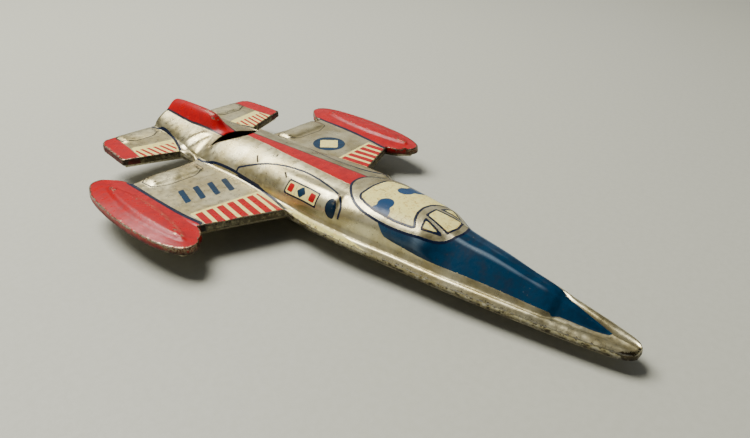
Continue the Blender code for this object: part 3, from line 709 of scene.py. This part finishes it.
def printed_tin():
    n = Net("litho_print", Specular_IOR_Level=0.27)
    here = n.place((1000, 1000, 1000))
    flat = n.attribute("flat", "Vector")
    sheet_s, sheet_y, sheet_part = n.split(flat)
    drift = n.times(n.minus(n.noise(here, 1.6, 3.0), 0.5), 0.10)

    def ink(name, shift=0.0, soft=0.05):
        d = n.plus(n.attribute(name), drift)
        return n.step(d, shift - soft, shift + soft)

    def line(name, half, soft=0.05, strength=1.0):
        d = n.size(n.plus(n.attribute(name), drift))
        return n.step(d, half - soft, half + soft, strength, 0.0)

    # bare tin: clouded lacquer, rolling grain, freckles
    cloud = n.noise(here, 0.11, 5.0, 0.6)
    streak = n.noise(n.place((1.0, 0.08, 1.0), flat), 2.2, 4.0, 0.6)
    fine = n.noise(here, 2.6, 5.0, 0.7)
    tin = n.mix(n.step(cloud, 0.38, 0.66), TIN_WARM, TIN)
    tin = n.mix(n.times(n.step(streak, 0.45, 0.75), 0.30), tin, rgb(205, 200, 176))
    tin = n.mix(n.times(n.step(fine, 0.56, 0.70), 0.35), tin, rgb(104, 94, 66))

    # layers of ink, light to dark
    colour, cover = tin, 0.0

    def lay(mask, ink_colour):
        nonlocal colour, cover
        colour = n.mix(mask, colour, ink_colour)
        cover = n.most(cover, mask)

    tone = n.noise(here, 0.5, 3.0)
    red = n.mix(n.step(tone, 0.35, 0.7), RED, rgb(164, 4, 12))
    blue = n.mix(n.step(tone, 0.35, 0.7), BLUE, rgb(0, 38, 62))
    cream = n.mix(n.step(n.noise(here, 0.9, 5.0, 0.7), 0.45, 0.68), CREAM, rgb(240, 214, 120))
    lay(ink("ink_band"), cream)
    lay(ink("ink_red"), red)
    run = n.size(sheet_s)
    # red bars across the leading edges, each pitch apart inwards from start
    for name, lean, at_y, start, pitch, half in (
        ("ink_wing_bars", 0.15, 32.5, 30.4, 2.85, 0.93),
        ("ink_tail_bars", -0.10, -5.0, 22.3, 1.75, 0.40),
    ):
        slanted = n.plus(run, n.times(n.plus(sheet_y, at_y), lean))
        place = n.math("FLOORED_MODULO", n.minus(start, slanted), pitch)
        d = n.minus(half, n.size(n.minus(place, half)))
        d = n.plus(n.least(d, n.attribute(name)), n.times(drift, 1.6))
        lay(n.step(d, -0.05, 0.05), red)
    # painted highlight: the cone's crest made paler blue, ahead of the canopy and behind the step
    painted_crest_highlight = n.times(n.step(n.attribute("ridge"), 0.08, 0.55, 0.0, 0.42), n.step(sheet_y, -111.0, -107.5))
    painted_crest_highlight = n.times(painted_crest_highlight, n.step(streak, 0.25, 0.55, 0.6, 1.0))
    lay(ink("ink_blue"), n.mix(painted_crest_highlight, blue, rgb(128, 150, 166)))
    lay(ink("ink_glass"), cream)
    lay(ink("ink_panes"), cream)
    lay(ink("ink_light"), cream)
    badge = n.attribute("line_badge")
    inside_badge = n.step(badge, 0.0, 0.1)
    lay(n.times(inside_badge, ink("ink_red")), red)
    lay(n.times(inside_badge, ink("ink_blue")), blue)
    lay(ink("ink_heads"), n.mix(0.35, blue, rgb(30, 84, 140)))
    lay(ink("ink_mouth"), rgb(3, 34, 52))
    # line work
    lay(line("ink_canopy", 0.32), NAVY)
    lay(line("ink_glass", 0.32), NAVY)
    lay(line("ink_panes", 0.28), NAVY)
    lay(n.times(line("line_fairing", 0.30), n.step(run, 13.0, 13.3, 1.0, 0.0)), NAVY)
    lay(line("line_badge", 0.22), NAVY)
    lay(line("line_root", 0.42), NAVY)
    lay(line("line_tail", 0.42), NAVY)
    lay(line("line_tank", 0.50), NAVY)
    lay(line("line_fin", 0.24), rgb(40, 36, 48))
    lay(n.times(line("line_stripe", 0.20), 0.8), rgb(40, 30, 34))
    lay(n.times(line("line_flap", 0.20), 0.9), rgb(46, 43, 36))
    lay(line("ink_mouth", 0.12), NAVY)

    # fine brown crackle in the cream
    crackle = n.step(n.cells(n.place((1300, 900, 1100)), 0.8, "DISTANCE_TO_EDGE"), 0.02, 0.07, 1.0, 0.0)
    crackle = n.times(crackle, n.step(n.noise(here, 0.45, 3.0), 0.48, 0.58))
    pale = n.most(n.minus(ink("ink_glass"), ink("ink_heads"), clamp=True), ink("ink_panes"))
    colour = n.mix(n.times(crackle, pale, 0.6), colour, rgb(150, 118, 60))

    # wear: edges rubbed to metal, chips and pits, scratches
    edge = n.attribute("rim_distance")
    ridge = n.attribute("ridge")
    pitting = n.noise(here, 1.15, 6.0, 0.72)
    seam = n.step(n.size(n.plus(edge, 0.10)), 0.0, 0.9, 0.22, 0.0)
    chip_field = n.plus(seam, pitting)
    chip_field = n.plus(chip_field, n.step(n.attribute("rim_depth"), 0.55, 1.0, 0.0, 0.22))
    chip_field = n.plus(chip_field, n.times(n.step(ridge, 0.25, 1.2), 0.22))
    not_wings = n.step(sheet_part, 0.2, 0.6, 1.0, 0.0)
    body_rim = n.times(n.step(n.attribute("rim_depth"), 0.10, 0.45), not_wings)
    pock = n.noise(n.place((1.0, 0.55, 1.0), here), 0.9, 6.0, 0.7)
    pocks = n.times(n.step(pock, 0.535, 0.565), body_rim)
    flecks = n.times(n.step(pock, 0.445, 0.415, 0.0, 1.0), body_rim)
    chips = n.most(n.step(chip_field, 0.735, 0.775), pocks)
    rub = n.step(n.plus(n.step(n.size(n.plus(edge, 0.10)), 0.0, 0.26, 0.50, 0.0), pitting), 0.90, 1.0)
    scratch_a = n.noise(n.place((1.0, 0.045, 1.0), here), 3.1, 2.0, 0.5, 0.6)
    scratch_b = n.noise(n.place((0.05, 1.0, 1.0), here), 2.7, 2.0, 0.5, 0.8)
    scratches = n.most(n.step(scratch_a, 0.735, 0.76), n.step(scratch_b, 0.75, 0.775))
    scratches = n.times(scratches, n.step(n.noise(here, 0.25, 2.0), 0.48, 0.56))
    bare = n.most(n.most(n.times(chips, 0.9), rub), n.times(scratches, 0.7))
    worn_metal = n.mix(n.step(n.noise(here, 2.0, 4.0), 0.40, 0.62), rgb(150, 140, 112), RUST)
    dark_pits = n.mix(n.step(n.noise(here, 1.6, 4.0), 0.42, 0.52), RUST, DIRT_AND_SHADE)
    worn_metal = n.mix(n.step(cover, 0.1, 0.6), dark_pits, worn_metal)
    worn_metal = n.mix(n.times(rub, 0.75), worn_metal, rgb(206, 200, 180))
    colour = n.mix(bare, colour, worn_metal)
    colour = n.mix(n.times(flecks, 0.85), colour, rgb(236, 230, 206))
    cover = n.times(cover, n.minus(1.0, bare))

    # short gouges in the side of the fuselage, each from one (distance round the sheet, Y) to another
    for (s0, y0), (s1, y1) in (
        ((-6.2, -26.2), (-8.4, -28.7)), ((-7.6, -39.0), (-9.3, -41.4)), ((-3.2, -31.5), (-4.6, -32.1)),
    ):
        length = math.hypot(s1 - s0, y1 - y0)
        ds, dy = (s1 - s0) / length, (y1 - y0) / length
        along = n.plus(n.times(sheet_s, ds), n.times(sheet_y, dy))
        beside = n.plus(n.times(sheet_s, dy), n.times(sheet_y, -ds))
        along = n.size(n.minus(along, (s0 * ds + y0 * dy) + length / 2))
        beside = n.size(n.plus(n.minus(beside, s0 * dy - y0 * ds), drift))
        in_length = n.step(along, length / 2 - 0.5, length / 2, 1.0, 0.0)
        in_width = n.step(beside, 0.16, 0.32, 1.0, 0.0)
        colour = n.mix(n.times(in_length, in_width), colour, DIRT_AND_SHADE)

    # painted shade in dark brown: in concave places such as the strip beside the body, and on the turned-down
    # rim; tarnished freckles as well
    hollow_shade = n.step(ridge, -1.6, -0.25, 1.0, 0.0)
    # painted shade on the turned-down rim
    low = n.step(n.attribute("painted_rim_shade"), 0.03, 0.30)
    freckle = n.step(n.cells(here, 0.9), 0.10, 0.20, 1.0, 0.0)
    freckle = n.times(freckle, n.step(n.noise(here, 0.30, 3.0), 0.52, 0.64))
    tarnish_and_shade = n.times(hollow_shade, n.step(n.noise(here, 0.8, 5.0, 0.7), 0.34, 0.60, 0.0, 0.60))
    tarnish_and_shade = n.most(tarnish_and_shade, n.times(low, n.step(n.noise(here, 0.9, 5.0, 0.7), 0.30, 0.55, 0.55, 1.0)))
    tarnish_and_shade = n.most(tarnish_and_shade, n.times(freckle, 0.75), clamp=True)
    # lays the painted shade and the tarnished freckles in dark brown
    colour = n.mix(n.times(tarnish_and_shade, 0.85), colour, DIRT_AND_SHADE)

    metal = n.minus(1.0, cover)
    # the painted shade and the freckles also dull the metal and roughen it
    metallic = n.times(metal, n.minus(0.92, n.times(tarnish_and_shade, 0.6)))
    rough_tin = n.step(n.noise(here, 0.7, 4.0), 0.3, 0.7, 0.26, 0.40)
    rough = n.blend(cover, rough_tin, n.step(tone, 0.3, 0.7, 0.26, 0.36))
    rough = n.plus(rough, n.times(tarnish_and_shade, 0.30), clamp=True)

    grain = n.noise(n.place((1.0, 0.10, 1.0), flat), 6.0, 3.0, 0.6)
    peel = n.noise(here, 1.3, 2.0)
    height = n.plus(n.times(grain, 0.10), n.times(peel, 0.55))
    height = n.plus(height, n.times(cover, 0.35))
    height = n.minus(height, n.times(tarnish_and_shade, 0.5))
    height = n.minus(height, n.times(scratches, 0.4))
    return n.wire(colour, metallic, rough, n.relief(height, 0.00005, 0.8))


def plain_tin(name, light, warm, dark, rust_from):
    """Unprinted tin: tarnished clouds, rust spots, scuffs along the run of the sheet."""
    n = Net(name, Coat_Weight=0.08, Coat_Roughness=0.35)
    here = n.place((1000, 1000, 1000))
    cloud = n.noise(here, 0.16, 6.0, 0.62)
    spots = n.noise(here, 1.1, 6.0, 0.75)
    streak = n.noise(n.place((1.0, 0.06, 1.0), here), 2.5, 4.0, 0.6)
    colour = n.mix(n.step(cloud, 0.36, 0.64), warm, light)
    colour = n.mix(n.times(n.step(streak, 0.45, 0.72), 0.35), colour, dark)
    rust = n.step(spots, rust_from, rust_from + 0.08)
    colour = n.mix(n.times(rust, 0.85), colour, RUST)
    metallic = n.blend(rust, 0.9, 0.25)
    rough = n.plus(n.step(cloud, 0.3, 0.7, 0.48, 0.34), n.times(rust, 0.3))
    height = n.plus(n.times(streak, 0.4), n.times(spots, -0.8))
    return n.wire(colour, metallic, rough, n.relief(height, 0.00006, 0.7))


def rubber():
    n = Net("worn_rubber", IOR=1.5)
    here = n.place((1000, 1000, 1000))
    dust = n.noise(here, 0.5, 5.0, 0.6)
    fine = n.noise(here, 4.0, 4.0, 0.7)
    colour = n.mix(n.step(dust, 0.42, 0.72), rgb(24, 23, 22), rgb(74, 70, 62))
    rough = n.step(fine, 0.3, 0.7, 0.55, 0.80)
    return n.wire(colour, None, rough, n.relief(n.plus(fine, dust), 0.00008, 0.8))


def steel_wire():
    n = Net("drawn_wire", Metallic=1.0)
    here = n.place((1000, 1000, 1000))
    drawn = n.noise(n.place((0.05, 1.0, 1.0), here), 6.0, 3.0, 0.6)
    spots = n.noise(here, 1.8, 5.0, 0.7)
    colour = n.mix(n.step(drawn, 0.35, 0.7), rgb(168, 166, 160), rgb(112, 108, 100))
    colour = n.mix(n.step(spots, 0.56, 0.66), colour, RUST)
    return n.wire(colour, None, n.step(spots, 0.4, 0.65, 0.30, 0.62), n.relief(drawn, 0.00003, 0.8))


# ---- the pieces ------------------------------------------------------------------------------------------
top = make_shell()
top.data.materials.append(printed_tin())
INSIDE = plain_tin("shell_inside", rgb(120, 114, 94), rgb(86, 78, 60), rgb(60, 54, 42), 0.54)
top.data.materials.append(INSIDE)
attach(top, "airframe")
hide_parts("upper_shell")

BARE = plain_tin("bare_bottom", rgb(174, 167, 142), rgb(136, 126, 98), rgb(80, 70, 52), 0.55)
STRIP = plain_tin("bracket_strip", rgb(166, 160, 140), rgb(134, 124, 98), rgb(80, 72, 56), 0.60)
RUBBER, WIRE = rubber(), steel_wire()
for name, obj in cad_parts.items():
    if name == "lower_shell":
        mat = BARE
    elif name.endswith("bracket"):
        mat = STRIP
    elif name.endswith("axle"):
        mat = WIRE
    elif "wheel" in name:
        mat = RUBBER
    else:
        continue
    for slot in obj.material_slots:
        slot.material = mat

# ---- floor, light, camera --------------------------------------------------------------------------------
floor_mesh = bpy.data.meshes.new("floor")
HALF = 1.6
corners = [(-HALF, -HALF, 0), (HALF, -HALF, 0), (HALF, HALF, 0), (-HALF, HALF, 0)]
floor_mesh.from_pydata(corners, [], [(0, 1, 2, 3)])
floor = bpy.data.objects.new("floor", floor_mesh)
bpy.context.scene.collection.objects.link(floor)
n = Net("table_top")
here = n.place((1000, 1000, 1000))
floor_mesh.materials.append(n.wire(
    n.mix(n.step(n.noise(here, 0.6, 4.0), 0.3, 0.7), rgb(197, 197, 181), rgb(193, 193, 176)),
    None,
    n.step(n.noise(here, 1.4, 3.0), 0.3, 0.7, 0.52, 0.60),
    n.relief(n.noise(here, 2.0, 4.0), 0.00005, 0.3),
))

world = bpy.data.worlds.new("studio")
world.use_nodes = True
world.node_tree.nodes["Background"].inputs["Color"].default_value = (0.93, 0.95, 1.0, 1)
world.node_tree.nodes["Background"].inputs["Strength"].default_value = 0.07
bpy.context.scene.world = world


def area_light(name, place, aim, size, power, colour=(1, 1, 1)):
    data = bpy.data.lights.new(name, "AREA")
    data.shape = "RECTANGLE"
    data.size, data.size_y = size
    data.energy = power
    data.color = colour
    obj = bpy.data.objects.new(name, data)
    bpy.context.scene.collection.objects.link(obj)
    obj.location = place
    obj.rotation_euler = (Vector(aim) - Vector(place)).to_track_quat("-Z", "Y").to_euler()
    return obj


area_light("window", (-0.07, 0.395, 0.665), (0, 0, 0), (0.45, 0.45), 10.6, (1.0, 0.99, 0.955))
area_light("card", (0.62, 0.54, 0.44), (0, 0, 0.01), (0.9, 0.6), 0.90, (1.0, 0.99, 0.96))
area_light("side_card", (-0.72, 0.42, 0.42), (0, 0, 0.01), (0.8, 0.6), 0.60, (1.0, 0.99, 0.96))

# the camera's angles in the body frame, and its distance from the point that it aims at
AZ, EL, ROLL = math.radians(-48.798), math.radians(30.5366), math.radians(2.6426)
AIM, DISTANCE = np.array([0, -63.339, -0.108]), 155.868
back = np.array([math.sin(AZ) * math.cos(EL), -math.cos(AZ) * math.cos(EL), math.sin(EL)])
right = np.array([math.cos(AZ), math.sin(AZ), 0.0])
up = np.cross(back, right)
across = math.cos(ROLL) * right + math.sin(ROLL) * up
upward = -math.sin(ROLL) * right + math.cos(ROLL) * up
eye = to_stand([AIM + back * DISTANCE])[0]
turn = STAND @ Matrix((across, upward, back)).transposed()
camera = bpy.data.objects.new("camera", bpy.data.cameras.new("camera"))
camera.data.sensor_width = 36.0
camera.data.sensor_fit = "HORIZONTAL"
camera.data.lens = 30.7507
camera.data.clip_start = 0.005
camera.matrix_world = Matrix.Translation(Vector(eye)) @ turn.to_4x4()
bpy.context.scene.collection.objects.link(camera)
bpy.context.scene.camera = camera

bpy.context.view_layer.update()
